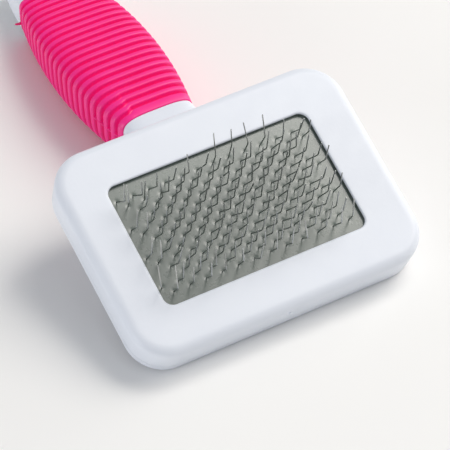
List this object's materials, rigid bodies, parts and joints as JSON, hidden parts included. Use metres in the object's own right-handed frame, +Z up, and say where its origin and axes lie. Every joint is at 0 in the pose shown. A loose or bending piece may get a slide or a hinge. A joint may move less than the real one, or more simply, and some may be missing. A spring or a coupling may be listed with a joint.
{
  "type": "slicker brush",
  "caption": "Hand-held pet slicker brush: a rectangular framed pad of bent wire pins on a tray with a drooped handle and a ribbed soft grip.",
  "frame": {"origin": "middle of the bounding box in plan, at the level of the surface that the brush rests on", "axes": "+Y along the brush from the head's front edge to the handle's tail, +Z up, +X across the head"},
  "size_m": [0.0858, 0.1564, 0.0384],
  "materials": {
    "body_plastic": "smooth white moulding",
    "frame_plastic": "smooth white moulding",
    "pad_rubber": "matt grey-green rubber",
    "foam": "soft closed-cell foam",
    "grip_rubber": "satin soft-touch pink",
    "pin_wire": "drawn steel wire"
  },
  "bodies": {
    "root": {"handle_body": "body_plastic", "face_frame": "frame_plastic", "pin_pad": "pad_rubber", "foam_cushion": "foam", "grip_sleeve": "grip_rubber", "pin_row_01": "pin_wire", "pin_row_02": "pin_wire", "pin_row_03": "pin_wire", "pin_row_04": "pin_wire", "pin_row_05": "pin_wire", "pin_row_06": "pin_wire", "pin_row_07": "pin_wire", "pin_row_08": "pin_wire", "pin_row_09": "pin_wire", "pin_row_10": "pin_wire", "pin_row_11": "pin_wire", "pin_row_12": "pin_wire", "pin_row_13": "pin_wire", "pin_row_14": "pin_wire"}
  },
  "joints": []
}
